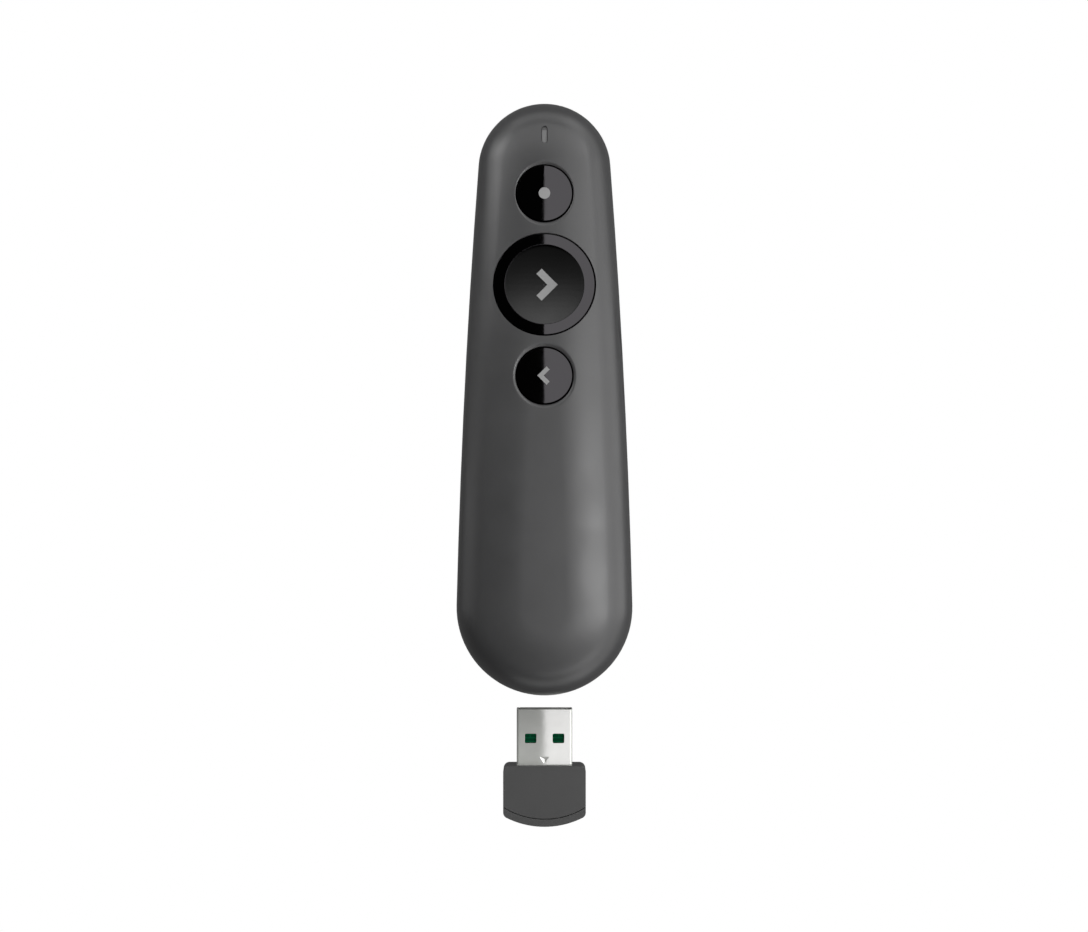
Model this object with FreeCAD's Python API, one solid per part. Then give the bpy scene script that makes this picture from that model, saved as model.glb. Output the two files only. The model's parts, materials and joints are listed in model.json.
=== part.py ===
"""Hand-held presentation clicker with three round buttons, and its plug-in radio receiver.

The clicker lies on its back. +Z points up out of the buttons, +Y towards the nose, where the laser
leaves, and the origin is on the table under the middle of the body. Sizes are in millimetres.

The body is one smooth pebble form. It is split level into a front shell above and, below, a back
shell at the nose and a cover at the tail. The cover slides off tailwards over the battery bay, and
the receiver docks in the cover's tail. The receiver is drawn pulled out, lying behind the tail.
"""

import FreeCAD
import Part
import math
import os

Vector = FreeCAD.Vector

# Body outline, seen from above: a nose arc, two long side arcs and a tail arc, all tangent
body_length = 125.0
nose_radius = 14.0
tail_radius = 18.5
side_radius = 1820.0

# Body heights. The front face falls gently towards the nose, and the back lies level
body_height = 26.0
split_height = 12.0
front_tilt = 2.3
tilt_skirt = 6.0

# Rounded edges of the two halves: a corner arc that runs on into a wide crown arc
front_corner_radius = 7.0
front_crown_radius = 40.0
front_crown_reach = 14.0
back_corner_radius = 7.0
back_crown_radius = 32.0
back_crown_reach = 11.0
inside_facets = 3

# Walls and gaps of the housing
wall = 1.6
parting_gap = 0.15
fit_gap = 0.15
lip_thickness = 0.9
lip_depth = 1.2

# Circuit board
board_height = 14.4
board_thickness = 1.2
board_margin = 2.0
board_from_nose = 5.5
board_from_tail = 31.5

# Buttons. Places along the body are distances from its nose or its tail
laser_button_from_nose = 19.7
next_button_from_nose = 38.75
back_button_from_nose = 57.8
small_cap_radius = 5.75
large_cap_radius = 10.46
cap_gap = 0.33
cap_sink = 0.15
cap_wall = 1.2
cap_post_radius = 1.7
dish_radius = 8.3
dish_depth = 0.9
flange_overlap = 0.6
flange_thickness = 0.75
flange_lift = 0.1
collar_wall = 0.9
collar_gap = 0.05
countersink_radius = 7.0
countersink_depth = 0.55

# Tactile switches
switch_side = 5.2
switch_base_height = 1.8
switch_floor = 0.5
switch_wall = 0.6
switch_plate_thickness = 0.2
plunger_radius = 1.2
plunger_foot_radius = 1.7
plunger_foot_height = 0.4
plunger_rise = 0.8
plunger_gap = 0.05
dome_radius = 1.8
dome_crown_radius = 0.9

# Status light
light_from_nose = 7.3
light_width = 1.28
light_length = 3.63
light_sink = 0.35
light_flange = 0.5
light_flange_height = 0.6
led_length = 1.6
led_width = 0.8
led_height = 0.6
led_clearance = 0.2

# Laser module, window and saddles
laser_barrel_radius = 2.1
laser_barrel_length = 9.0
laser_barrel_from_nose = 5.5
laser_barrel_wall = 0.5
laser_lens_length = 1.2
laser_lens_bulge = 0.4
laser_can_radius = 1.5
laser_can_length = 3.0
laser_can_rim = 0.45
laser_can_rim_width = 0.5
flex_width = 3.2
flex_thickness = 0.2
flex_bend = 1.0
window_radius = 2.2
window_flange_radius = 3.0
window_flange_thickness = 0.7
saddle_thickness = 1.2
saddle_half_width = 3.8
saddle_inset = 1.6
saddle_drop = 0.5

# Battery and its bay
battery_radius = 5.25
battery_length = 44.5
battery_nub_radius = 1.9
battery_nub_height = 0.9
battery_play = 0.35
bay_wall = 1.2
bay_from_tail = 29.1
spring_length = 3.0
spring_sheet = 0.3
spring_half_width = 2.6
spring_height = 8.0
spring_fold = 0.9
contact_thickness = 0.4
contact_half_width = 4.4
contact_height = 8.0

# Rails beside the bay, and the hooks of the cover that run on them
rail_height = 9.6
rail_thickness = 1.2
rail_half_width = 12.7
rail_from_tail = 30.5
hook_gap = 0.2
hook_overlap = 0.8
hook_thickness = 1.1
hook_length = 8.0
hook_places_from_tail = (38.5, 68.5)

# Cover
cover_length = 81.5
bulkhead_thickness = 1.2
grip_count = 4
grip_from_tail = 68.5
grip_pitch = 2.2
grip_width = 0.9
grip_half_length = 5.5
grip_depth = 0.5

# Screws
screw_x = 9.8
screw_from_nose = 50.5
screw_from_tail = 34.5
screw_radius = 0.9
screw_head_radius = 1.7
screw_head_height = 1.2
screw_length = 7.0
boss_radius = 1.8
post_radius = 1.6
nose_post_x = 7.5
nose_post_from_nose = 29.5
bay_posts_from_tail = (38.5, 70.5)

# Receiver
receiver_half_width = 8.9
receiver_height = 7.0
receiver_length = 13.1
receiver_wall = 1.2
receiver_corner = 1.3
receiver_dock_gap = 0.12
receiver_pullout = 29.4
end_cap_depth = 1.7
end_cap_groove = 0.15
cap_peg_length = 1.6
cap_peg_half_width = 3.0
cap_peg_height = 2.6
cap_peg_centre = 4.3
receiver_rear_wall = 4.7
plug_width = 12.0
plug_height = 4.5
plug_length = 12.05
plug_root = 4.0
plug_sheet = 0.3
plug_corner = 0.6
plug_window_width = 2.5
plug_window_length = 2.05
plug_window_x = 3.0
plug_window_corner = 0.3
plug_window_from_tip = 6.25
plug_notch_width = 2.1
plug_notch_length = 1.5
plug_notch_from_root = 0.35
plug_notch_depth = 0.2
insert_reach = 0.3
dongle_board_thickness = 1.6
dongle_board_recess = 0.4
dongle_board_tail = 7.0
pad_count = 4
pad_pitch = 2.3
pad_width = 1.1
pad_length = 7.4
pad_thickness = 0.12
dongle_chip_side = 4.0
dongle_chip_height = 0.9

# Parts on the board
chip_side = 5.0
chip_height = 0.9
chip_x = 6.8
chip_y = -14.0
crystal_length = 3.2
crystal_width = 2.5
crystal_height = 0.8
crystal_x = -6.0
crystal_y = -14.0

# Levels and places that follow from the sizes above
half_length = body_length / 2
nose_centre_y = half_length - nose_radius
laser_button_y = half_length - laser_button_from_nose
next_button_y = half_length - next_button_from_nose
back_button_y = half_length - back_button_from_nose
light_y = half_length - light_from_nose
laser_barrel_front_y = half_length - laser_barrel_from_nose
board_nose_y = half_length - board_from_nose
board_tail_y = board_from_tail - half_length
bay_tail_y = bay_from_tail - half_length
rail_tail_y = rail_from_tail - half_length
cover_front_y = cover_length - half_length
screw_front_y = half_length - screw_from_nose
screw_tail_y = screw_from_tail - half_length
tail_centre_y = tail_radius - half_length
tilt_slope = math.tan(math.radians(front_tilt))
crown_tail_y = tail_centre_y - tail_radius + front_crown_reach
front_height = body_height - split_height + crown_tail_y * tilt_slope
board_top = board_height + board_thickness
switch_top = board_top + switch_base_height + switch_plate_thickness
plunger_top = switch_top + plunger_rise
flange_bottom = plunger_top + flange_lift
flange_top = flange_bottom + flange_thickness
collar_level = flange_top + collar_gap
battery_height = wall + battery_play + battery_radius
bay_ceiling = battery_height + battery_radius + battery_play
bay_half_width = battery_radius + battery_play
battery_tail_y = bay_tail_y + spring_length
battery_front_y = battery_tail_y + battery_length
bay_front_y = battery_front_y + contact_thickness
receiver_end_y = -half_length + receiver_dock_gap
receiver_front_y = receiver_end_y + receiver_length
plug_tip_y = receiver_front_y + plug_length
plug_axis_height = receiver_height / 2
dock_front_y = receiver_front_y + fit_gap
port_end_y = plug_tip_y + 2 * fit_gap


def box(x_range, y_range, z_range):
    """A block between two x, two y and two z values."""
    low = Vector(x_range[0], y_range[0], z_range[0])
    sizes = [r[1] - r[0] for r in (x_range, y_range, z_range)]
    return Part.makeBox(*sizes, low)


def slab(half_width, y_range, z_range):
    """A block that is centred on the middle plane."""
    return box((-half_width, half_width), y_range, z_range)


def upright(radius, x, y, z_range):
    """A cylinder that stands between two heights."""
    return Part.makeCylinder(radius, z_range[1] - z_range[0], Vector(x, y, z_range[0]))


def along_y(radius, y_range, z, x=0.0):
    """A cylinder that lies along the body between two y values."""
    start = Vector(x, y_range[0], z)
    return Part.makeCylinder(radius, y_range[1] - y_range[0], start, Vector(0, 1, 0))


def side_arc_centre():
    """Centre of the right-hand side arc, which touches the nose and tail circles from outside."""
    to_nose = side_radius - nose_radius
    to_tail = side_radius - tail_radius
    squares = nose_centre_y**2 - tail_centre_y**2 - to_nose**2 + to_tail**2
    y = squares / (2 * (nose_centre_y - tail_centre_y))
    x = -math.sqrt(to_nose**2 - (nose_centre_y - y) ** 2)
    return Vector(x, y, 0)


def outline_arcs():
    """The outline's four arcs, anticlockwise: centre, radius, and start and end angle in degrees."""
    side = side_arc_centre()
    to_nose = Vector(0, nose_centre_y, 0) - side
    to_tail = Vector(0, tail_centre_y, 0) - side
    nose_angle = math.degrees(math.atan2(to_nose.y, to_nose.x))
    tail_angle = math.degrees(math.atan2(to_tail.y, to_tail.x))
    far_side = Vector(-side.x, side.y, 0)
    return [
        (side, side_radius, tail_angle, nose_angle),
        (Vector(0, nose_centre_y, 0), nose_radius, nose_angle, 180 - nose_angle),
        (far_side, side_radius, 180 - nose_angle, 180 - tail_angle),
        (Vector(0, tail_centre_y, 0), tail_radius, 180 - tail_angle, 360 + tail_angle),
    ]


def half_width(y, inset=0.0):
    """Half the width of the outline at y, with the outline moved in by inset."""
    right, nose, _, tail = outline_arcs()

    def reach_of(arc):
        centre, radius = arc[0], arc[1] - inset
        return centre.x + math.sqrt(max(radius**2 - (y - centre.y) ** 2, 0.0))

    def arc_end_y(arc, angle):
        return arc[0].y + (arc[1] - inset) * math.sin(math.radians(angle))

    if y > arc_end_y(right, right[3]):
        return reach_of(nose)
    if y < arc_end_y(right, right[2]):
        return reach_of(tail)
    return reach_of(right)


def plan_face(inset, height):
    """The outline as a level face at a height, moved in by inset."""
    edges = []
    for centre, radius, start, end in outline_arcs():
        if radius - inset < parting_gap:
            continue
        points = []
        for angle in (start, (start + end) / 2, end):
            turn = math.radians(angle)
            direction = Vector(math.cos(turn), math.sin(turn), 0)
            points.append(centre + direction * (radius - inset))
        edges.append(Part.Arc(*points).toShape())
    face = Part.Face(Part.Wire(edges))
    face.translate(Vector(0, 0, height))
    return face


def plan_prism(inset, z_range):
    """The outline, moved in by inset, pulled up between two heights."""
    return plan_face(inset, z_range[0]).extrude(Vector(0, 0, z_range[1] - z_range[0]))


class EdgeProfile:
    """The rounded edge of one half of the body, in section.

    From the outline inwards it is an upright wall, a corner arc and a wide crown arc, which ends
    level at the reach. Further in, the half is flat. Heights count from the split.
    """

    def __init__(self, height, corner_radius, crown_radius, reach):
        self.height = height
        self.corner_radius = corner_radius
        self.crown_radius = crown_radius
        self.reach = reach
        across = reach - corner_radius
        up = math.sqrt((crown_radius - corner_radius) ** 2 - across**2)
        self.crown_centre = Vector(reach, 0, height - crown_radius)
        self.corner_centre = Vector(corner_radius, 0, height - crown_radius + up)
        self.joint_direction = self.corner_centre - self.crown_centre
        self.joint_direction.normalize()

    def joint(self, inset):
        """Where the corner arc runs on into the crown arc."""
        return self.crown_centre + self.joint_direction * (self.crown_radius - inset)

    def height_at(self, distance, inset=0.0):
        """Height of the surface at a distance inside the outline."""
        if distance >= self.reach:
            return self.height - inset
        if distance >= self.joint(inset).x:
            centre, radius = self.crown_centre, self.crown_radius - inset
        else:
            centre, radius = self.corner_centre, self.corner_radius - inset
        across = min(abs(distance - centre.x), radius)
        return centre.z + math.sqrt(radius**2 - across**2)

    def curve_points(self, inset, count):
        """Even points along the corner arc and the crown arc, from the wall to the reach."""
        joint = self.joint(inset)
        wall_top = Vector(inset, 0, self.corner_centre.z)
        crown_end = Vector(self.reach, 0, self.height - inset)
        spans = [
            (self.corner_centre, self.corner_radius - inset, wall_top, joint, count),
            (self.crown_centre, self.crown_radius - inset, joint, crown_end, 1),
        ]
        points = [wall_top]
        for centre, radius, start, end, steps in spans:
            first = math.atan2(start.z - centre.z, start.x - centre.x)
            last = math.atan2(end.z - centre.z, end.x - centre.x)
            for step in range(1, steps + 1):
                turn = first + (last - first) * step / steps
                direction = Vector(math.cos(turn), 0, math.sin(turn))
                points.append(centre + direction * radius)
        return points

    def face(self, outline_radius, inset, base, facets):
        """The section as an upright face beside the z axis, for one arc of the outline.

        The rounded part is two true arcs, or, for the inside of a wall, a few straight facets.
        """

        def place(point):
            return Vector(outline_radius - point.x, 0, point.z)

        def line(start, end):
            return Part.makeLine(place(start), place(end))

        def arc(start, middle, end):
            return Part.Arc(place(start), place(middle), place(end)).toShape()

        if facets:
            points = self.curve_points(inset, facets)
            curve = [line(*pair) for pair in zip(points, points[1:])]
        else:
            points = self.curve_points(inset, 2)
            start, end = points[2] - self.crown_centre, points[3] - self.crown_centre
            across = start + end
            across.normalize()
            crown_middle = self.crown_centre + across * (self.crown_radius - inset)
            curve = [arc(*points[:3]), arc(points[2], crown_middle, points[3])]
        foot = Vector(inset, 0, base)
        inner_foot = Vector(self.reach, 0, base)
        edges = [line(foot, points[0])] + curve
        edges += [line(points[-1], inner_foot), line(inner_foot, foot)]
        return Part.Face(Part.Wire(edges))

    def form(self, inset, base):
        """The whole half: the section turned about each arc of the outline, and a flat core."""
        facets = inside_facets if inset > fit_gap else 0
        sectors = []
        for centre, radius, start, end in outline_arcs():
            section = self.face(radius, inset, base, facets)
            section.rotate(Vector(0, 0, 0), Vector(0, 0, 1), start)
            section.translate(centre)
            sectors.append(section.revolve(centre, Vector(0, 0, 1), end - start))
        core = plan_prism(self.reach, (base, self.height - inset))
        return core.multiFuse(sectors).removeSplitter()


FRONT_EDGE = EdgeProfile(
    front_height, front_corner_radius, front_crown_radius, front_crown_reach
)
BACK_EDGE = EdgeProfile(split_height, back_corner_radius, back_crown_radius, back_crown_reach)


def upper_form(inset):
    """The front half of the body form, moved in by inset and tilted down towards the nose."""
    form = FRONT_EDGE.form(inset, -tilt_skirt)
    form.rotate(Vector(0, 0, 0), Vector(1, 0, 0), -front_tilt)
    form.translate(Vector(0, 0, split_height))
    above = slab(body_length, (-body_length, body_length), (split_height, 2 * body_height))
    return form.common(above)


def lower_form(inset):
    """The back half of the body form, moved in by inset."""
    form = BACK_EDGE.form(inset, 0.0).mirror(Vector(0, 0, 0), Vector(0, 0, 1))
    form.translate(Vector(0, 0, split_height))
    return form


def front_surface(x, y, inset=0.0):
    """Height of the front face over a point, moved in by inset."""
    distance = half_width(y) - abs(x)
    return split_height + FRONT_EDGE.height_at(distance, inset) - y * tilt_slope


OUTER_UPPER = upper_form(0.0)
INNER_UPPER = upper_form(wall)
MID_UPPER = upper_form(wall / 2)
OUTER_LOWER = lower_form(0.0)
INNER_LOWER = lower_form(wall)
MID_LOWER = lower_form(wall / 2)
HIGH = body_height + 5.0


def fused(first, *others):
    """Several touching solids as one, with split faces merged."""
    return first.multiFuse(list(others)).removeSplitter()


def stadium(width, length, y, z_range):
    """An upright slot shape: a rectangle with round ends along the body."""
    straight = (length - width) / 2
    middle = slab(width / 2, (y - straight, y + straight), z_range)
    ends = [upright(width / 2, 0, y + side * straight, z_range) for side in (-1, 1)]
    return fused(middle, *ends)


def screw_places():
    """Centres of the four case screws."""
    return [(side * screw_x, y) for y in (screw_front_y, screw_tail_y) for side in (-1, 1)]


BUTTONS = {
    "laser": (laser_button_y, small_cap_radius),
    "next": (next_button_y, large_cap_radius),
    "back": (back_button_y, small_cap_radius),
}


def tilted(shape, y, z):
    """A shape made upright at y and z, leaned to stand square on the front face."""
    leaned = shape.copy()
    leaned.rotate(Vector(0, y, z), Vector(1, 0, 0), -front_tilt)
    return leaned


def countersink(y, hole_radius):
    """The shallow cone that leads a finger into a small button's hole."""
    rim = front_surface(0, y)
    slope = (countersink_radius - hole_radius) / countersink_depth
    reach = 2 * countersink_depth
    low_radius = countersink_radius - slope * reach
    high_radius = countersink_radius + slope * reach
    foot = Vector(0, y, rim - reach)
    return tilted(Part.makeCone(low_radius, high_radius, 2 * reach, foot), y, rim)


def front_shell():
    """The upper housing: thin walled, with collars for the buttons and bosses for the screws."""
    shell = OUTER_UPPER.cut(INNER_UPPER)
    collars = []
    for y, cap_radius in BUTTONS.values():
        outer = upright(cap_radius + cap_gap + collar_wall, 0, y, (collar_level, HIGH))
        collars.append(outer.common(MID_UPPER))
    bosses = [screw_boss(x, y) for x, y in screw_places()]
    shell = fused(shell, *collars, *bosses, nose_lip())
    for y, cap_radius in BUTTONS.values():
        hole_radius = cap_radius + cap_gap
        shell = shell.cut(upright(hole_radius, 0, y, (split_height, HIGH)))
        if cap_radius == small_cap_radius:
            shell = shell.cut(countersink(y, hole_radius))
    for x, y in screw_places():
        pilot = (rail_height, split_height + screw_length)
        shell = shell.cut(upright(screw_radius + collar_gap, x, y, pilot))
    shell = shell.cut(stadium(light_width, light_length, light_y, (split_height, HIGH)))
    return shell.cut(window_hole())


def screw_boss(x, y):
    """A screw boss that hangs from the inside of the front shell down to the rails."""
    above = upright(boss_radius, x, y, (split_height, HIGH)).common(MID_UPPER)
    below = upright(boss_radius, x, y, (rail_height + rail_thickness, split_height))
    return above.fuse(below)


def nose_lip():
    """The lip of the front shell that reaches down inside the back shell's rim at the nose."""
    outer = plan_prism(wall + fit_gap, (split_height - lip_depth, split_height))
    root = plan_prism(wall - 2 * fit_gap, (split_height, split_height + lip_depth))
    inner = plan_prism(wall + fit_gap + lip_thickness, (0, HIGH))
    lip = outer.fuse(root).cut(inner)
    start = cover_front_y + parting_gap + bulkhead_thickness + fit_gap
    lip = lip.common(slab(body_length, (start, body_length), (0, HIGH)))
    flange_room = (window_flange_y() - fit_gap, body_length)
    return lip.cut(along_y(window_flange_radius + fit_gap, flange_room, split_height))


def window_hole():
    """The round hole in the nose for the laser window."""
    hole_range = (window_flange_y(), body_length)
    return along_y(window_radius + fit_gap, hole_range, split_height)


def window_flange_y():
    """Where the flange of the laser window starts, just behind the nose's inner face."""
    inner_radius = nose_radius - wall
    seat_y = nose_centre_y + math.sqrt(inner_radius**2 - window_flange_radius**2)
    return seat_y - fit_gap / 3 - window_flange_thickness


def laser_window():
    """The dark window at the nose: a plug with the nose's own curve, and a flange behind it."""
    start = window_flange_y()
    plug = along_y(window_radius, (start, body_length), split_height)
    plug = plug.common(upright(nose_radius, 0, nose_centre_y, (0, HIGH)))
    flange_range = (start, start + window_flange_thickness)
    flange = along_y(window_flange_radius, flange_range, split_height)
    return fused(plug, flange)


def back_shell():
    """The lower housing at the nose, with the battery bay and rails that reach into the tail."""
    skin = OUTER_LOWER.cut(INNER_LOWER)
    edge_y = cover_front_y + parting_gap
    nose_part = slab(body_length, (edge_y, body_length), (0, split_height - parting_gap))
    skin = skin.common(nose_part)
    bulkhead_range = (edge_y, edge_y + bulkhead_thickness)
    bulkhead_top = split_height - parting_gap
    bulkhead = MID_LOWER.common(slab(body_length, bulkhead_range, (0, bulkhead_top)))
    bay_outer = slab(
        bay_half_width + bay_wall,
        (bay_tail_y - bay_wall, edge_y + bulkhead_thickness),
        (wall + battery_play, bay_ceiling + bay_wall),
    )
    rails = slab(
        rail_half_width,
        (rail_tail_y, edge_y + bulkhead_thickness),
        (rail_height, rail_height + rail_thickness),
    )
    shell = fused(skin, bulkhead, bay_outer, rails, *board_posts(), *saddles())
    bay = slab(bay_half_width, (bay_tail_y, bay_front_y), (0, bay_ceiling))
    shell = shell.cut(bay)
    for x, y in screw_places():
        hole_range = (rail_height - 1, rail_height + rail_thickness + 1)
        shell = shell.cut(upright(screw_radius + fit_gap, x, y, hole_range))
    return shell.cut(window_hole())


def board_posts():
    """Posts that carry the circuit board: two on the bay's roof and two on the nose's floor."""
    roof = bay_ceiling + bay_wall / 2
    on_bay = []
    for distance in bay_posts_from_tail:
        on_bay.append(upright(post_radius, 0, distance - half_length, (roof, board_height)))
    nose_posts = []
    for side in (-1, 1):
        y = half_length - nose_post_from_nose
        post = upright(post_radius, side * nose_post_x, y, (0, board_height))
        inside = MID_LOWER.fuse(slab(body_length, (0, body_length), (split_height, HIGH)))
        nose_posts.append(post.common(inside))
    return on_bay + nose_posts


def saddles():
    """Two cross ribs of the nose that cradle the laser barrel."""
    ribs = []
    back_y = laser_barrel_front_y - laser_barrel_length
    for start in (back_y + saddle_inset, laser_barrel_front_y - saddle_inset - saddle_thickness):
        z_range = (0, split_height - saddle_drop)
        rib = slab(saddle_half_width, (start, start + saddle_thickness), z_range)
        ribs.append(rib.common(MID_LOWER).cut(laser_barrel_space()))
    return ribs


def laser_barrel_space():
    """The room that the laser barrel takes, with a small gap round it."""
    y_range = (cover_front_y, half_length)
    return along_y(laser_barrel_radius + collar_gap, y_range, split_height)


def battery_cover():
    """The tail half of the back: a sliding cover with hooks, grip grooves and the receiver dock."""
    skin = OUTER_LOWER.cut(INNER_LOWER)
    tail_part = slab(body_length, (-body_length, cover_front_y), (0, split_height - parting_gap))
    skin = skin.common(tail_part)
    shell = fused(skin, dock_walls(), *hooks())
    shell = shell.cut(dock_room())
    for k in range(grip_count):
        y = grip_from_tail - half_length + k * grip_pitch
        groove = box(
            (-grip_half_length, grip_half_length), (y, y + grip_width), (-1, grip_depth)
        )
        shell = shell.cut(groove)
    return shell


def dock_walls():
    """The block of walls inside the tail that surrounds the docked receiver and its plug."""
    around_body = slab(
        receiver_half_width + fit_gap + receiver_wall,
        (-body_length, dock_front_y + receiver_wall),
        (0, receiver_height + fit_gap + receiver_wall),
    )
    around_plug = slab(
        plug_width / 2 + fit_gap + receiver_wall,
        (dock_front_y, port_end_y + receiver_wall),
        (0, plug_axis_height + plug_height / 2 + fit_gap + receiver_wall),
    )
    return around_body.fuse(around_plug).common(MID_LOWER)


def dock_room():
    """The hollow for the receiver: open below and behind, with a blind port for the plug."""
    body_room = slab(
        receiver_half_width + fit_gap,
        (-body_length, dock_front_y),
        (-1, receiver_height + fit_gap),
    )
    port = slab(
        plug_width / 2 + fit_gap,
        (dock_front_y - 1, port_end_y),
        (
            plug_axis_height - plug_height / 2 - receiver_dock_gap,
            plug_axis_height + plug_height / 2 + receiver_dock_gap,
        ),
    )
    return body_room.fuse(port)


def hooks():
    """Pairs of hooks inside the cover that reach over the rails."""
    made = []
    reach = rail_half_width + hook_gap
    rail_top = rail_height + rail_thickness
    for distance in hook_places_from_tail:
        start = distance - half_length
        y_range = (start, start + hook_length)
        for side in (-1, 1):
            riser = box(
                sorted((side * reach, side * (reach + hook_thickness))),
                y_range,
                (0, split_height - 2 * parting_gap),
            )
            tongue = box(
                sorted((side * (rail_half_width - hook_overlap), side * (reach + hook_thickness))),
                y_range,
                (rail_top + hook_gap, split_height - 2 * parting_gap),
            )
            made.append(riser.fuse(tongue).common(MID_LOWER))
    return made


def button_cap(y, radius, dished):
    """A hollow button cap with a flange under the collar and a post over the switch."""
    body = upright(radius, 0, y, (flange_bottom, HIGH)).common(upper_form(cap_sink))
    flange = upright(radius + cap_gap + flange_overlap, 0, y, (flange_bottom, flange_top))
    cap = fused(body, flange)
    ceiling = front_surface(radius, y + radius, cap_sink) - cap_wall
    if dished:
        cap = cap.cut(dish(y))
        ceiling -= dish_depth
    post = upright(cap_post_radius, 0, y, (plunger_top, ceiling))
    hollow = upright(radius - cap_wall, 0, y, (flange_bottom - 1, ceiling))
    return fused(cap.cut(hollow), post)


def dish(y):
    """The shallow ball-shaped hollow in the large button, with a crisp round rim."""
    surface = front_surface(0, y, cap_sink)
    rim = front_surface(dish_radius, y, cap_sink)
    ball_radius = (dish_radius**2 + dish_depth**2) / (2 * dish_depth)
    ball_centre = Vector(0, y, rim - dish_depth + ball_radius)
    ball = Part.makeSphere(ball_radius, ball_centre, Vector(0, 1, 0))
    hollow = ball.common(upright(dish_radius, 0, y, (rim - 2 * dish_depth, HIGH)))
    return tilted(hollow, y, surface)


def switch_base(y):
    """The moulded tray of a tactile switch."""
    half = switch_side / 2
    tray = box((-half, half), (y - half, y + half), (board_top, board_top + switch_base_height))
    room = upright(half - switch_wall, 0, y, (board_top + switch_floor, HIGH))
    return tray.cut(room)


def switch_plate(y):
    """The thin steel lid that holds a switch's plunger in."""
    half = switch_side / 2
    bottom = board_top + switch_base_height
    plate = box((-half, half), (y - half, y + half), (bottom, bottom + switch_plate_thickness))
    return plate.cut(upright(plunger_radius + plunger_gap, 0, y, (bottom - 1, bottom + 1)))


def switch_plunger(y):
    """The moving stem of a switch, with a wider foot under the lid."""
    foot_top = switch_top - switch_plate_thickness - plunger_gap
    foot = upright(plunger_foot_radius, 0, y, (foot_top - plunger_foot_height, foot_top))
    return fused(foot, upright(plunger_radius, 0, y, (foot_top, plunger_top)))


def switch_dome(y):
    """The dished snap disc that stands on the tray's floor under the plunger."""
    floor = board_top + switch_floor
    top = switch_top - switch_plate_thickness - plunger_gap - plunger_foot_height
    return Part.makeCone(dome_radius, dome_crown_radius, top - floor, Vector(0, y, floor))


def main_board():
    """The circuit board, which follows the inside of the housing and clears the screw bosses."""
    board = plan_prism(wall + board_margin, (board_height, board_top))
    board = board.common(slab(body_length, (board_tail_y, board_nose_y), (0, HIGH)))
    for x, y in screw_places():
        board = board.cut(upright(boss_radius + 2 * fit_gap, x, y, (0, HIGH)))
    return board


def light_pipe():
    """The clear insert that carries the status light to the front face."""
    bottom = board_top + led_height + led_clearance
    width, length = light_width - fit_gap, light_length - fit_gap
    stem = stadium(width, length, light_y, (bottom, HIGH)).common(upper_form(light_sink))
    flange = stadium(
        width + 2 * light_flange,
        length + 2 * light_flange,
        light_y,
        (bottom, bottom + light_flange_height),
    )
    return fused(stem, flange)


def status_led():
    """The small light on the board under the light pipe."""
    y_range = (light_y - led_length / 2, light_y + led_length / 2)
    return slab(led_width / 2, y_range, (board_top, board_top + led_height))


def laser_barrel():
    """The metal tube of the laser module."""
    back_y = laser_barrel_front_y - laser_barrel_length
    tube = along_y(laser_barrel_radius, (back_y, laser_barrel_front_y), split_height)
    bore = laser_barrel_radius - laser_barrel_wall
    return tube.cut(along_y(bore, (back_y - 1, laser_barrel_front_y + 1), split_height))


def laser_lens():
    """The collimating lens at the front of the barrel, flat behind and bulged in front."""
    radius = laser_barrel_radius - laser_barrel_wall - plunger_gap
    back_y = laser_barrel_front_y - laser_lens_length
    front_y = laser_barrel_front_y + laser_lens_bulge
    ball_radius = (radius**2 + laser_lens_bulge**2) / (2 * laser_lens_bulge)
    ball = Part.makeSphere(ball_radius, Vector(0, front_y - ball_radius, split_height))
    return along_y(radius, (back_y, front_y + 1), split_height).common(ball)


def laser_diode():
    """The diode's can, with the rim that closes the back of the barrel."""
    back_y = laser_barrel_front_y - laser_barrel_length
    rim_radius = laser_can_radius + laser_can_rim_width
    rim = along_y(rim_radius, (back_y - laser_can_rim, back_y), split_height)
    return fused(rim, along_y(laser_can_radius, (back_y, back_y + laser_can_length), split_height))


def laser_flex():
    """The flat cable that runs down the diode's back and bends up under the board."""
    back_y = laser_barrel_front_y - laser_barrel_length - laser_can_rim
    face_y = back_y - flex_thickness
    low = split_height - laser_can_radius
    pad = slab(flex_width / 2, (face_y, back_y), (low, board_height - flex_bend))
    bend_centre = Vector(-flex_width / 2, back_y - flex_bend, board_height - flex_bend)
    across = Vector(1, 0, 0)
    bend = Part.makeCylinder(flex_bend, flex_width, bend_centre, across)
    bend = bend.cut(Part.makeCylinder(flex_bend - flex_thickness, flex_width, bend_centre, across))
    corner = slab(
        flex_width / 2,
        (back_y - flex_bend, back_y),
        (board_height - flex_bend, board_height),
    )
    tail = slab(
        flex_width / 2,
        (back_y - 2 * flex_bend, back_y - flex_bend),
        (board_height - flex_thickness, board_height),
    )
    return fused(pad, bend.common(corner), tail)


def battery_cell():
    """The battery: a plain cell with its positive nub towards the nose."""
    shoulder_y = battery_front_y - battery_nub_height
    can = along_y(battery_radius, (battery_tail_y, shoulder_y), battery_height)
    nub = along_y(battery_nub_radius, (shoulder_y, battery_front_y), battery_height)
    return fused(can, nub)


def plate_contact():
    """The flat contact that meets the battery's nub."""
    top = bay_ceiling - fit_gap
    return slab(contact_half_width, (battery_front_y, bay_front_y), (top - contact_height, top))


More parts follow.
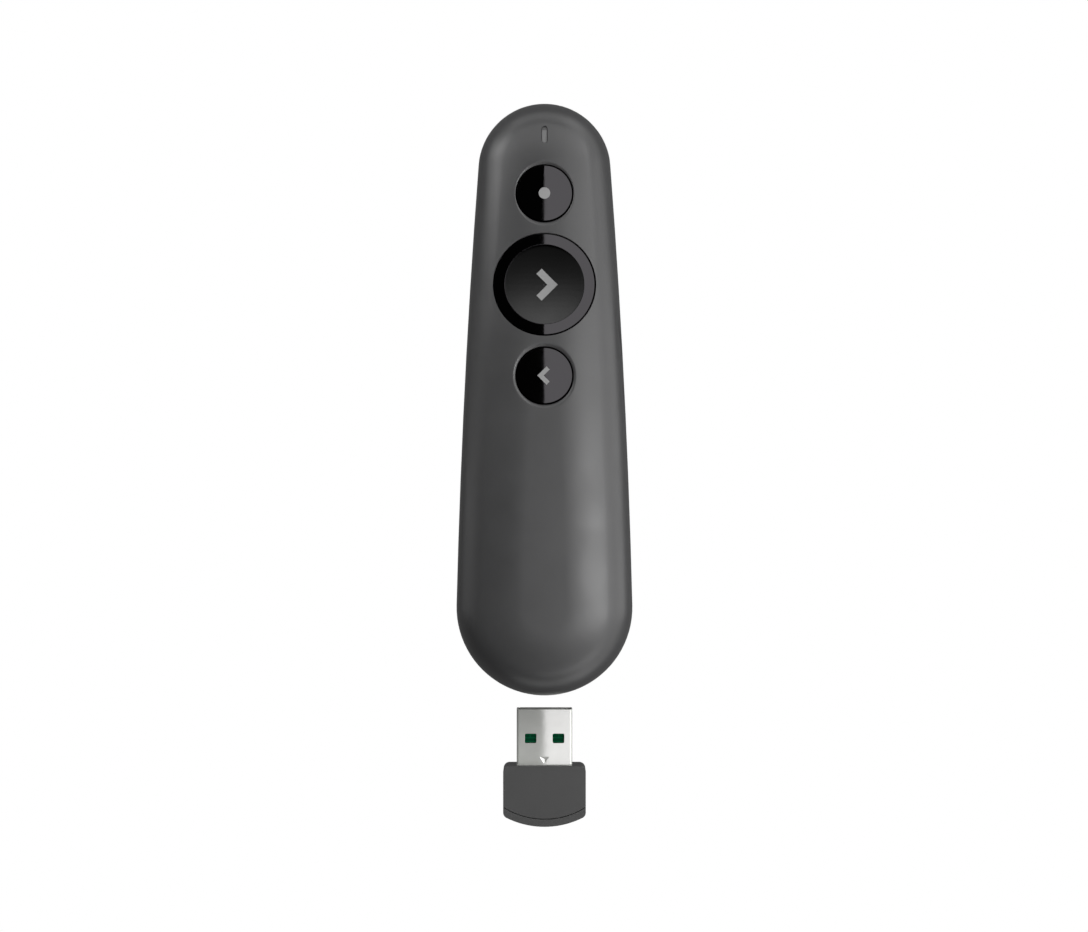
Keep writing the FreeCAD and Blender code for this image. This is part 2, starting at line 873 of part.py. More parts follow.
def spring_contact():
    """The folded leaf that presses on the battery's negative end."""
    back = slab(
        contact_half_width,
        (bay_tail_y, bay_tail_y + spring_sheet),
        (battery_height - spring_height / 2, battery_height + spring_height / 2),
    )
    foot = Vector(0, bay_tail_y, battery_height - spring_height / 2)
    top = Vector(0, battery_tail_y, battery_height)
    fold_y = bay_tail_y + spring_sheet + spring_fold
    corners = [
        foot,
        Vector(0, fold_y, foot.z),
        top,
        Vector(0, fold_y, battery_height + spring_height / 3),
        Vector(0, fold_y - spring_sheet, battery_height + spring_height / 3),
        Vector(0, battery_tail_y - spring_sheet, battery_height),
        Vector(0, fold_y - spring_sheet, foot.z + spring_sheet),
        Vector(0, bay_tail_y, foot.z + spring_sheet),
    ]
    leaf = Part.Face(Part.makePolygon(corners + corners[:1]))
    leaf.translate(Vector(-spring_half_width, 0, 0))
    return fused(back, leaf.extrude(Vector(2 * spring_half_width, 0, 0)))


def case_screws():
    """Four identical screws that pull the back shell's rails up to the front shell."""
    made = []
    for x, y in screw_places():
        head = upright(screw_head_radius, x, y, (rail_height - screw_head_height, rail_height))
        shank = upright(screw_radius, x, y, (rail_height, rail_height + screw_length))
        made.append(fused(head, shank))
    return Part.makeCompound(made)


def chip(x, y, side, height):
    """A flat square circuit package on the board."""
    half = side / 2
    return box((x - half, x + half), (y - half, y + half), (board_top, board_top + height))


def radio_chip():
    """The radio circuit on the board."""
    return chip(chip_x, chip_y, chip_side, chip_height)


def crystal():
    """The crystal in its small metal can beside the radio circuit."""
    half_x, half_y = crystal_length / 2, crystal_width / 2
    x_range = (crystal_x - half_x, crystal_x + half_x)
    y_range = (crystal_y - half_y, crystal_y + half_y)
    return box(x_range, y_range, (board_top, board_top + crystal_height))


def receiver_block():
    """The docked receiver's outer form: a block whose end takes the tail's own curve."""
    tail_centre = Vector(0, tail_centre_y, 0)
    disc = Part.makeCylinder(tail_radius - receiver_dock_gap, receiver_height, tail_centre)
    y_range = (-body_length, receiver_front_y)
    plan = slab(receiver_half_width, y_range, (0, receiver_height)).common(disc.fuse(
        slab(body_length, (tail_centre_y, body_length), (0, receiver_height))
    ))
    corners = [e for e in plan.Edges if abs(e.tangentAt(e.FirstParameter).z) > 0.9]
    corners = [e for e in corners if abs(e.CenterOfMass.x) > receiver_half_width / 2]
    block = plan.makeFillet(receiver_corner, corners)
    form = lower_form(receiver_dock_gap)
    form.translate(Vector(0, 0, -receiver_dock_gap))
    return block.common(form)


def seam_cylinder(depth):
    """An upright cylinder about the tail arc's centre, which lies a depth inside the tail."""
    return upright(tail_radius - depth, 0, tail_radius - half_length, (-1, HIGH))


def receiver_room():
    """The hollow inside the receiver's body, behind the plug's socket."""
    y_range = (receiver_end_y + receiver_rear_wall, receiver_front_y - plug_root)
    z_range = (receiver_wall, receiver_height - receiver_wall)
    return slab(receiver_half_width - receiver_wall, y_range, z_range)


def cap_peg(grow):
    """The peg that fixes the receiver's end cap, or its pocket where it is grown by a gap."""
    seam_y = end_cap_depth - half_length
    half = cap_peg_height / 2 + grow
    return slab(
        cap_peg_half_width + grow,
        (seam_y - end_cap_groove, seam_y + cap_peg_length + grow),
        (cap_peg_centre - half, cap_peg_centre + half),
    )


def pulled_out(shape):
    """The docked shape moved to where it lies behind the tail."""
    moved = shape.copy()
    moved.translate(Vector(0, -receiver_pullout, 0))
    return moved


def receiver_body():
    """The receiver's moulded body: a sleeve round the board, with the plug's socket in front."""
    body = receiver_block().common(seam_cylinder(end_cap_depth + end_cap_groove))
    half = plug_height / 2
    socket = slab(
        plug_width / 2,
        (receiver_front_y - plug_root, receiver_front_y + 1),
        (plug_axis_height - half, plug_axis_height + half),
    )
    return pulled_out(body.cut(receiver_room()).cut(socket).cut(cap_peg(fit_gap / 3)))


def receiver_end_cap():
    """The curved end of the receiver, with a peg that plugs into the body."""
    cap = receiver_block().cut(seam_cylinder(end_cap_depth))
    return pulled_out(fused(cap, cap_peg(0)))


def plug_profile(shrink, y_range):
    """A rounded rectangular bar along the plug, smaller than the plug by shrink all round."""
    half_w, half_h = plug_width / 2 - shrink, plug_height / 2 - shrink
    z_range = (plug_axis_height - half_h, plug_axis_height + half_h)
    bar = slab(half_w, y_range, z_range)
    corner = max(plug_corner - shrink, 0.1)
    long_edges = [e for e in bar.Edges if abs(e.tangentAt(e.FirstParameter).y) > 0.9]
    return bar.makeFillet(corner, long_edges)


def usb_shell():
    """The plug's folded steel shell, with its latch windows and the small locking notch."""
    y_range = (receiver_front_y - plug_root, plug_tip_y)
    shell = plug_profile(0, y_range).cut(plug_profile(plug_sheet, (y_range[0] - 1, y_range[1] + 1)))
    window_y = plug_tip_y - plug_window_from_tip
    half_w, half_l = plug_window_width / 2, plug_window_length / 2
    for side in (-1, 1):
        x = side * plug_window_x
        window = box((x - half_w, x + half_w), (window_y - half_l, window_y + half_l), (-1, HIGH))
        upright_edges = [e for e in window.Edges if e.Length > plug_height]
        shell = shell.cut(window.makeFillet(plug_window_corner, upright_edges))
    return pulled_out(shell.cut(locking_notch()))


def locking_notch():
    """A three-sided dimple in the plug's upper face, pointing at the receiver's body."""
    point_y = receiver_front_y + plug_notch_from_root
    base_y = point_y + plug_notch_length
    half = plug_notch_width / 2
    top = plug_axis_height + plug_height / 2
    rim = [Vector(-half, base_y, top), Vector(half, base_y, top), Vector(0, point_y, top)]
    bottom = Vector(0, base_y - plug_notch_length / 3, top - plug_notch_depth)
    sides = [[a, b, bottom] for a, b in zip(rim, rim[1:] + rim[:1])]
    faces = [Part.Face(Part.makePolygon(corners + corners[:1])) for corners in [rim] + sides]
    return Part.Solid(Part.makeShell(faces))


def receiver_board():
    """The receiver's green board, which runs out into the plug as its tongue."""
    top = plug_axis_height + plug_height / 2 - plug_sheet
    z_range = (top - dongle_board_thickness, top)
    y_range = (receiver_front_y - dongle_board_tail, plug_tip_y - dongle_board_recess)
    return pulled_out(slab(plug_width / 2 - plug_corner, y_range, z_range))


def usb_contacts():
    """Four gold contact strips on the lower side of the tongue."""
    top = plug_axis_height + plug_height / 2 - plug_sheet - dongle_board_thickness
    end_y = plug_tip_y - 2 * dongle_board_recess
    strips = []
    for k in range(pad_count):
        x = (k - (pad_count - 1) / 2) * pad_pitch
        x_range = (x - pad_width / 2, x + pad_width / 2)
        strips.append(box(x_range, (end_y - pad_length, end_y), (top - pad_thickness, top)))
    return pulled_out(Part.makeCompound(strips))


def usb_insert():
    """The plastic insert that holds the board up in the root of the plug."""
    low = plug_axis_height - plug_height / 2 + plug_sheet
    high = plug_axis_height + plug_height / 2 - plug_sheet - dongle_board_thickness
    y_range = (receiver_front_y - plug_root, receiver_front_y + insert_reach)
    return pulled_out(slab(plug_width / 2 - plug_corner, y_range, (low, high)))


def receiver_chip():
    """The radio circuit under the receiver's board."""
    top = plug_axis_height + plug_height / 2 - plug_sheet - dongle_board_thickness
    front_y = receiver_front_y - plug_root - fit_gap
    y_range = (front_y - dongle_chip_side, front_y)
    z_range = (top - dongle_chip_height, top)
    return pulled_out(slab(dongle_chip_side / 2, y_range, z_range))


def all_pieces():
    """Every piece by its node name."""
    pieces = {
        "front_shell": front_shell(),
        "back_shell": back_shell(),
        "battery_cover": battery_cover(),
        "laser_window": laser_window(),
        "light_pipe": light_pipe(),
        "main_board": main_board(),
        "radio_chip": radio_chip(),
        "crystal": crystal(),
        "status_led": status_led(),
        "laser_barrel": laser_barrel(),
        "laser_lens": laser_lens(),
        "laser_diode": laser_diode(),
        "laser_flex": laser_flex(),
        "battery_cell": battery_cell(),
        "spring_contact": spring_contact(),
        "plate_contact": plate_contact(),
        "case_screws": case_screws(),
        "receiver_body": receiver_body(),
        "receiver_end_cap": receiver_end_cap(),
        "usb_shell": usb_shell(),
        "receiver_board": receiver_board(),
        "usb_contacts": usb_contacts(),
        "usb_insert": usb_insert(),
        "receiver_chip": receiver_chip(),
    }
    for name, (y, radius) in BUTTONS.items():
        pieces[f"{name}_button"] = button_cap(y, radius, radius == large_cap_radius)
        pieces[f"{name}_switch_base"] = switch_base(y)
        pieces[f"{name}_switch_plate"] = switch_plate(y)
        pieces[f"{name}_switch_plunger"] = switch_plunger(y)
        pieces[f"{name}_switch_dome"] = switch_dome(y)
    return pieces


def export_all():
    """Writes one STEP file for each piece."""
    os.makedirs("parts", exist_ok=True)
    for name, shape in all_pieces().items():
        solids = shape.Solids
        print(name, len(solids), "solids", round(shape.Volume, 2), "mm3", shape.isValid())
        shape.exportStep(f"parts/{name}.step")


export_all()
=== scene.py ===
"""The presentation clicker and its receiver, dressed, lit and seen from straight above.

Lengths are in metres, in the frame of the solids. +Z points up out of the buttons, +Y towards the
nose, and the origin is on the table under the middle of the clicker.
"""

import bmesh
import bpy
import json
import math
from mathutils import Matrix, Vector

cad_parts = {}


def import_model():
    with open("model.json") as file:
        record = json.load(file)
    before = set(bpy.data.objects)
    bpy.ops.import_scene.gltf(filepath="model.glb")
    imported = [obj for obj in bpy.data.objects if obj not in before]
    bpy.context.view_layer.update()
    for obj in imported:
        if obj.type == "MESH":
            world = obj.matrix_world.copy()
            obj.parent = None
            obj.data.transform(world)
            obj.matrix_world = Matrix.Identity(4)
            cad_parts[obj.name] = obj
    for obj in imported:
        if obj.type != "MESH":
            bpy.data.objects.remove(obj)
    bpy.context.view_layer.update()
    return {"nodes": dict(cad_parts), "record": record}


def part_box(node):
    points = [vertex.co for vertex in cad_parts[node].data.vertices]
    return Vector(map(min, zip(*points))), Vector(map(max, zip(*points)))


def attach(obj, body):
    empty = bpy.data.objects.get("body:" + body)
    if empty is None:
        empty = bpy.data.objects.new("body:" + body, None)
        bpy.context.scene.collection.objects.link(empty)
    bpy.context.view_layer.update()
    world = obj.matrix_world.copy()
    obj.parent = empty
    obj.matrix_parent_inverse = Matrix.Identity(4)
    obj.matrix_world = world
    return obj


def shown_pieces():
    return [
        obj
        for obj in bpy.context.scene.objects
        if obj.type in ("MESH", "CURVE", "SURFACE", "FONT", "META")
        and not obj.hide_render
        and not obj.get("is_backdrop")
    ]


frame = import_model()
NODES = frame["nodes"]
MM = 0.001

# Printed signs on the buttons
next_sign_height = 6.7 * MM
next_sign_stroke = 1.53 * MM
next_sign_shift = 0.54 * MM
back_sign_height = 3.83 * MM
back_sign_stroke = 0.93 * MM
back_sign_shift = -0.2 * MM
dot_radius = 1.21 * MM
print_lift = 0.05 * MM
print_thickness = 0.03 * MM
print_start = 5 * MM
dish_radius = 8.25 * MM
dish_film_lift = 0.02 * MM

# Heights between which the caps go from painted shade in the gap round them, where their reflection
# is turned off, to glossy
gap_shade_low = 20.3 * MM
gap_shade_high = 20.8 * MM

# Painted shadow at the end of the light pipe nearest the nose, where the slot's recess shades it,
# and the blend beside it
light_pipe_shadow_end = 1.2 * MM
light_pipe_shadow_blend = 0.2 * MM

# Body form, as the solids have it: outline arcs, split, tilt of the front, and the two rounded edges
half_length = 62.5 * MM
nose_radius = 14.0 * MM
tail_radius = 18.5 * MM
side_radius = 1820.0 * MM
split_height = 12.0 * MM
front_tilt = math.radians(2.3)
front_edge = {"height": 12.052 * MM, "corner": 7.0 * MM, "crown": 40.0 * MM, "reach": 14.0 * MM}
back_edge = {"height": 12.0 * MM, "corner": 7.0 * MM, "crown": 32.0 * MM, "reach": 11.0 * MM}
guide_reach = 0.15 * MM
guide_steps = 40

# How finely the small sheets are divided, and how near points are when they are one
arm_steps = (16, 5)
disc_steps = 64
disc_hole = 0.02
weld_reach = 0.0001 * MM
seam_reach = 0.001 * MM

# Noise factors between which a texture goes from its low to its high value
noise_low = 0.3
noise_high = 0.7

# Camera, straight above a point between the clicker and the receiver
camera_place = Vector((-0.1 * MM, -14.1 * MM, 0.49))
camera_lens = 74.25
camera_sensor = 36.0
card_tint = (1.0, 0.96, 1.02)

# Table and surround
table_half = 2.0
table_drop = 0.2 * MM
surround_strength = 0.004

# Studio lights, in metres: place, width and length, radiance, and the pieces that they light
LIGHTS = {
    "card": ((0.45, 0.05, 0.9), (0.9, 1.2), 2.1, "shiny"),
    "satin": ((0.0, 0.55, 0.75), (0.8, 0.5), 3.1, "dish"),
    "highlight": ((0.22, -0.02, 0.8), (0.1, 0.22), 10.0, "matt"),
    "highlight_side": ((0.29, -0.02, 0.8), (0.12, 0.22), 18.0, "matt"),
    "right_high": ((0.52, 0.0, 0.74), (0.2, 0.6), 1.0, "matt"),
    "right_low": ((0.9, 0.0, 0.08), (0.2, 0.8), 0.6, "matt"),
    "left": ((-0.85, 0.0, 0.31), (0.25, 0.8), 0.5, "matt"),
    "left_low": ((-0.9, 0.0, 0.08), (0.2, 0.8), 0.7, "matt"),
    "nose_high": ((0.0, 0.52, 0.74), (0.6, 0.2), 2.8, "matt"),
    "tail_high": ((0.2, -0.55, 0.68), (0.5, 0.25), 1.5, "matt"),
    "near_nose": ((-0.12, 0.1, 0.06), (0.06, 0.08), 2.7, "matt"),
    "above_nose": ((-0.12, 0.12, 0.14), (0.08, 0.1), 5.0, "matt"),
    "nose_right_high": ((0.42, 0.42, 0.65), (0.35, 0.35), 4.3, "matt"),
    "nose_right_low": ((0.65, 0.6, 0.25), (0.9, 0.6), 1.4, "matt"),
    "nose_left_low": ((-0.65, 0.6, 0.25), (0.9, 0.6), 0.6, "matt"),
    "tail_right_high": ((0.42, -0.42, 0.65), (0.4, 0.4), 2.1, "matt"),
    "tail_right": ((0.55, -0.55, 0.42), (0.7, 0.7), 0.5, "matt"),
    "tail_right_low": ((0.65, -0.6, 0.25), (0.9, 0.6), 1.2, "matt"),
    "tail_soft": ((0.1, -0.87, 0.23), (0.9, 0.4), 1.2, "matt"),
    "nose_soft": ((0.05, 0.85, 0.3), (1.2, 0.5), 1.4, "matt"),
    "right_soft": ((0.8, 0.0, 0.4), (0.5, 1.2), 2.5, "matt"),
    "table_glow": ((0.0, 0.0, -0.05), (1.5, 1.5), 0.2, "matt"),
}


def on_button(node):
    """Middle of a button, seen from above."""
    low, high = (Vector(corner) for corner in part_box(node))
    return (low + high) / 2


def grid_mesh(name, point_at, rows, columns):
    """A sheet of small quads, whose corner at (s, t), both from 0 to 1, is point_at(s, t)."""
    mesh = bmesh.new()
    corners = []
    for i in range(rows + 1):
        row = [mesh.verts.new(point_at(i / rows, j / columns)) for j in range(columns + 1)]
        corners.append(row)
    for i in range(rows):
        for j in range(columns):
            quad = (corners[i][j], corners[i + 1][j], corners[i + 1][j + 1], corners[i][j + 1])
            mesh.faces.new(quad)
    bmesh.ops.remove_doubles(mesh, verts=mesh.verts, dist=weld_reach)
    bmesh.ops.recalc_face_normals(mesh, faces=mesh.faces)
    data = bpy.data.meshes.new(name)
    mesh.to_mesh(data)
    mesh.free()
    return link(name, data)


def link(name, data):
    """A new object in the scene for this data."""
    made = bpy.data.objects.new(name, data)
    bpy.context.scene.collection.objects.link(made)
    return made


def join(name, objects):
    """One smooth-shaded object from several, with their common edges merged."""
    mesh = bmesh.new()
    for each in objects:
        mesh.from_mesh(each.data)
        bpy.data.objects.remove(each)
    bmesh.ops.remove_doubles(mesh, verts=mesh.verts, dist=seam_reach)
    bmesh.ops.recalc_face_normals(mesh, faces=mesh.faces)
    for face in mesh.faces:
        face.smooth = True
    data = bpy.data.meshes.new(name)
    mesh.to_mesh(data)
    mesh.free()
    return link(name, data)


def outline_arcs():
    """The outline's four arcs, anticlockwise: centre, radius, and start and end angle."""
    nose = Vector((0, half_length - nose_radius, 0))
    tail = Vector((0, tail_radius - half_length, 0))
    to_nose = side_radius - nose_radius
    to_tail = side_radius - tail_radius
    squares = nose.y**2 - tail.y**2 - to_nose**2 + to_tail**2
    y = squares / (2 * (nose.y - tail.y))
    side = Vector((-math.sqrt(to_nose**2 - (nose.y - y) ** 2), y, 0))
    nose_turn = math.atan2(nose.y - y, -side.x)
    tail_turn = math.atan2(tail.y - y, -side.x)
    return [
        (side, side_radius, tail_turn, nose_turn),
        (nose, nose_radius, nose_turn, math.pi - nose_turn),
        (Vector((-side.x, y, 0)), side_radius, math.pi - nose_turn, math.pi - tail_turn),
        (tail, tail_radius, math.pi - tail_turn, 2 * math.pi + tail_turn),
    ]


def edge_height(edge, distance):
    """Height of a rounded edge above the split, at a distance inside the outline."""
    reach, corner, crown = edge["reach"], edge["corner"], edge["crown"]
    if distance >= reach:
        return edge["height"]
    up = math.sqrt((crown - corner) ** 2 - (reach - corner) ** 2)
    crown_centre = edge["height"] - crown
    joint = reach - crown * (reach - corner) / (crown - corner)
    if distance >= joint:
        return crown_centre + math.sqrt(crown**2 - (reach - distance) ** 2)
    return crown_centre + up + math.sqrt(corner**2 - (corner - distance) ** 2)


def smooth_guide(name, edge, tilt, side, nodes):
    """A finely divided copy of one half's outer form, unseen, that lends its normals to nodes."""
    strips = []
    for k, (centre, radius, start, end) in enumerate(outline_arcs()):
        deepest = min(radius, tail_radius)

        def point_at(s, t):
            turn = start + (end - start) * s
            distance = deepest * t * t
            flat = centre + Vector((math.cos(turn), math.sin(turn), 0)) * (radius - distance)
            flat.z = edge_height(edge, distance) * side
            flat.rotate(Matrix.Rotation(-tilt, 3, "X"))
            return flat + Vector((0, 0, split_height))

        strips.append(grid_mesh(f"{name}_{k}", point_at, guide_steps, guide_steps))
    guide = join(name, strips)
    guide.hide_render = True
    for node in nodes:
        lend = NODES[node].modifiers.new("smooth normals", "DATA_TRANSFER")
        lend.object = guide
        lend.use_loop_data = True
        lend.data_types_loops = {"CUSTOM_NORMAL"}
        lend.loop_mapping = "POLYINTERP_NEAREST"
        lend.use_max_distance = True
        lend.max_distance = guide_reach


def chevron_arm(name, centre, height, stroke, pointing, arm):
    """One arm of a chevron: cut square at its end and mitred at the point.

    The chevron points to +X or -X by pointing, and arm is +1 for its upper arm.
    """
    half = stroke / 2
    run = height / 2 - half * math.sqrt(0.5)
    tip = (run + half * math.sqrt(0.5) - half * math.sqrt(2)) / 2
    across = Vector((math.sqrt(0.5), math.sqrt(0.5), 0)) * half
    end = Vector((tip - run, run, 0))
    outer_tip = Vector((tip + half * math.sqrt(2), 0, 0))
    inner_tip = Vector((tip - half * math.sqrt(2), 0, 0))

    def point_at(s, t):
        inner = inner_tip.lerp(end - across, s)
        outer = outer_tip.lerp(end + across, s)
        flat = inner.lerp(outer, t)
        return centre + Vector((flat.x * pointing, flat.y * arm, 0))

    return grid_mesh(name, point_at, *arm_steps)


def disc(name, centre, radius, rings):
    """A round sheet of small quads."""

    def point_at(s, t):
        turn = 2 * math.pi * s
        out = radius * (disc_hole + (1 - disc_hole) * t)
        return centre + Vector((math.cos(turn), math.sin(turn), 0)) * out

    return grid_mesh(name, point_at, disc_steps, rings)


def printed(piece, node, body, paint, lift=print_lift):
    """Lays a flat sheet onto a button from above, thickens it a little and paints it."""
    wrap = piece.modifiers.new("lay on the cap", "SHRINKWRAP")
    wrap.target = NODES[node]
    wrap.wrap_method = "PROJECT"
    wrap.use_project_z = True
    wrap.use_negative_direction = True
    wrap.use_positive_direction = False
    wrap.offset = lift
    film = piece.modifiers.new("ink film", "SOLIDIFY")
    film.thickness = print_thickness
    piece.data.materials.append(paint)
    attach(piece, body)


def signs(paint, satin):
    """The satin dish of the large button, the two chevrons and the round laser sign."""
    above = Vector((0, 0, print_start))
    for arm, word in ((1, "upper"), (-1, "lower")):
        centre = on_button("next_button") + above + Vector((next_sign_shift, 0, 0))
        piece = chevron_arm(
            f"next_sign_{word}", centre, next_sign_height, next_sign_stroke, 1, arm
        )
        printed(piece, "next_button", "next_key", paint)
        centre = on_button("back_button") + above + Vector((back_sign_shift, 0, 0))
        piece = chevron_arm(
            f"back_sign_{word}", centre, back_sign_height, back_sign_stroke, -1, arm
        )
        printed(piece, "back_button", "back_key", paint)
    dot = disc("laser_sign", on_button("laser_button") + above, dot_radius, rings=3)
    printed(dot, "laser_button", "laser_key", paint)
    film = disc("dish_film", on_button("next_button") + above, dish_radius, rings=16)
    printed(film, "next_button", "next_key", satin, dish_film_lift)
    return film


class Recipe:
    """A material in the making: a Principled shader and the textures that vary it."""

    def __init__(self, name, colour, roughness, metallic=0.0):
        self.slot = name
        self.material = bpy.data.materials.new(name)
        self.material.use_nodes = True
        self.nodes = self.material.node_tree.nodes
        self.links = self.material.node_tree.links
        self.shader = self.nodes["Principled BSDF"]
        self.colour = colour
        self.set("Base Color", (*colour, 1))
        self.set("Roughness", roughness)
        self.set("Metallic", metallic)
        self.roughness = roughness
        self.place = self.nodes.new("ShaderNodeTexCoord").outputs["Object"]
        self.normal = None

    def set(self, socket, value):
        """Sets one input of the shader."""
        self.shader.inputs[socket].default_value = value

    def noise(self, size, detail=2.0, stretch=(1, 1, 1)):
        """Noise whose grains are this size across, drawn out along an axis by stretch."""
        mapping = self.nodes.new("ShaderNodeMapping")
        self.links.new(self.place, mapping.inputs["Vector"])
        mapping.inputs["Scale"].default_value = [1 / s for s in stretch]
        texture = self.nodes.new("ShaderNodeTexNoise")
        self.links.new(mapping.outputs["Vector"], texture.inputs["Vector"])
        texture.inputs["Scale"].default_value = 1 / size
        texture.inputs["Detail"].default_value = detail
        return texture.outputs["Fac"]

    def vary_colour(self, factor, spread):
        """The colour goes from darker to lighter, by this share either way, with the factor."""
        ramp = self.nodes.new("ShaderNodeValToRGB")
        self.links.new(factor, ramp.inputs["Fac"])
        for stop, place, share in zip(ramp.color_ramp.elements, (noise_low, noise_high), (-1, 1)):
            stop.position = place
            stop.color = (*[c * (1 + share * spread) for c in self.colour], 1)
        self.links.new(ramp.outputs["Color"], self.shader.inputs["Base Color"])

    def vary_roughness(self, factor, spread):
        """The roughness moves by this much either way with the factor."""
        scale = self.nodes.new("ShaderNodeMapRange")
        self.links.new(factor, scale.inputs["Value"])
        scale.inputs["From Min"].default_value = noise_low
        scale.inputs["From Max"].default_value = noise_high
        scale.inputs["To Min"].default_value = self.roughness - spread
        scale.inputs["To Max"].default_value = self.roughness + spread
        self.links.new(scale.outputs["Result"], self.shader.inputs["Roughness"])

    def soften_edges(self, radius):
        """Shades sharp edges as if they were rounded."""
        bevel = self.nodes.new("ShaderNodeBevel")
        bevel.samples = 6
        bevel.inputs["Radius"].default_value = radius
        self.use_normal(bevel.outputs["Normal"])

    def bump(self, factor, depth):
        """Raises the surface by up to this depth with the factor."""
        bump = self.nodes.new("ShaderNodeBump")
        bump.inputs["Distance"].default_value = depth
        self.links.new(factor, bump.inputs["Height"])
        if self.normal:
            self.links.new(self.normal, bump.inputs["Normal"])
        self.use_normal(bump.outputs["Normal"])

    def use_normal(self, socket):
        """Makes this the normal that the shader sees."""
        self.normal = socket
        self.links.new(socket, self.shader.inputs["Normal"])


def moulded(name, colour, roughness, grain=0.3 * MM, grain_depth=0.004 * MM, edge=0.12 * MM):
    """Moulded plastic with a fine eroded grain and softened edges."""
    recipe = Recipe(name, colour, roughness)
    recipe.soften_edges(edge)
    recipe.bump(recipe.noise(grain), grain_depth)
    recipe.vary_colour(recipe.noise(6 * MM, detail=3), spread=0.04)
    recipe.vary_roughness(recipe.noise(9 * MM, detail=4), spread=0.03)
    return recipe


def polished(name, colour, roughness):
    """Polished plastic with a faint orange peel and the haze that fingers leave."""
    recipe = Recipe(name, colour, roughness)
    recipe.soften_edges(0.1 * MM)
    recipe.bump(recipe.noise(2.5 * MM, detail=1), depth=0.0004 * MM)
    recipe.vary_colour(recipe.noise(4 * MM), spread=0.05)
    recipe.vary_roughness(recipe.noise(5 * MM, detail=4), spread=roughness * 0.3)
    return recipe


def cap_gloss_and_gap_shade():
    """Piano black for the button caps, with painted shade in the gap round them: their reflection is
    turned off there.
    """
    recipe = polished("button_gloss", (0.001, 0.001, 0.001), 0.015)
    # Painted shade: the reflection fades to nothing below a height, in the gap round each cap.
    split = recipe.nodes.new("ShaderNodeSeparateXYZ")
    recipe.links.new(recipe.place, split.inputs["Vector"])
    gap_shade = recipe.nodes.new("ShaderNodeMapRange")
    recipe.links.new(split.outputs["Z"], gap_shade.inputs["Value"])
    gap_shade.inputs["From Min"].default_value = gap_shade_low
    gap_shade.inputs["From Max"].default_value = gap_shade_high
    gap_shade.inputs["To Min"].default_value = 0.0
    gap_shade.inputs["To Max"].default_value = 0.5
    recipe.links.new(gap_shade.outputs["Result"], recipe.shader.inputs["Specular IOR Level"])
    return recipe


def metal(name, colour, roughness, metallic, brushed=0.08 * MM):
    """Metal with fine brush lines along the body and slight tarnish."""
    recipe = Recipe(name, colour, roughness, metallic)
    recipe.soften_edges(0.08 * MM)
    lines = recipe.noise(brushed, stretch=(1, 60, 1))
    recipe.bump(lines, depth=0.0002 * MM)
    recipe.vary_colour(recipe.noise(3 * MM, detail=3), spread=0.03)
    recipe.vary_roughness(lines, spread=roughness * 0.2)
    return recipe


def board(colour):
    """Green lacquered board, with copper tracks that show through as paler lines."""
    recipe = Recipe("circuit_board", colour, 0.35)
    tracks = recipe.nodes.new("ShaderNodeTexBrick")
    recipe.links.new(recipe.place, tracks.inputs["Vector"])
    tracks.inputs["Scale"].default_value = 1.0
    tracks.inputs["Brick Width"].default_value = 3.1 * MM
    tracks.inputs["Row Height"].default_value = 0.8 * MM
    tracks.inputs["Mortar Size"].default_value = 0.09 * MM
    tracks.inputs["Color1"].default_value = (*colour, 1)
    tracks.inputs["Color2"].default_value = (*[c * 0.8 for c in colour], 1)
    tracks.inputs["Mortar"].default_value = (*[c * 1.7 for c in colour], 1)
    recipe.links.new(tracks.outputs["Color"], recipe.shader.inputs["Base Color"])
    recipe.bump(tracks.outputs["Fac"], depth=0.02 * MM)
    recipe.set("Specular IOR Level", 0.02)
    return recipe


def light_pipe():
    """Smoky clear plastic, with a painted shadow at the end of the slot nearest the nose, where the
    recess shades it.
    """
    recipe = polished("light_pipe", (0.17, 0.17, 0.172), 0.3)
    high = Vector(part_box("light_pipe")[1])
    split = recipe.nodes.new("ShaderNodeSeparateXYZ")
    recipe.links.new(recipe.place, split.inputs["Vector"])
    shade = recipe.nodes.new("ShaderNodeMapRange")
    recipe.links.new(split.outputs["Y"], shade.inputs["Value"])
    shade.inputs["From Min"].default_value = high.y - light_pipe_shadow_end - light_pipe_shadow_blend
    shade.inputs["From Max"].default_value = high.y - light_pipe_shadow_end
    # Painted shadow: the colour darkens towards the nose end of the pipe.
    ramp = recipe.nodes.new("ShaderNodeValToRGB")
    recipe.links.new(shade.outputs["Result"], ramp.inputs["Fac"])
    ramp.color_ramp.elements[0].color = (0.12, 0.12, 0.121, 1)
    ramp.color_ramp.elements[1].color = (0.05, 0.05, 0.05, 1)
    recipe.links.new(ramp.outputs["Color"], recipe.shader.inputs["Base Color"])
    return recipe


def glass(name, colour, transmission):
    """Tinted clear plastic or glass with faint flow marks."""
    recipe = Recipe(name, colour, 0.04)
    recipe.set("Transmission Weight", transmission)
    recipe.vary_colour(recipe.noise(5 * MM), spread=0.03)
    recipe.bump(recipe.noise(4 * MM, detail=1), depth=0.0003 * MM)
    return recipe


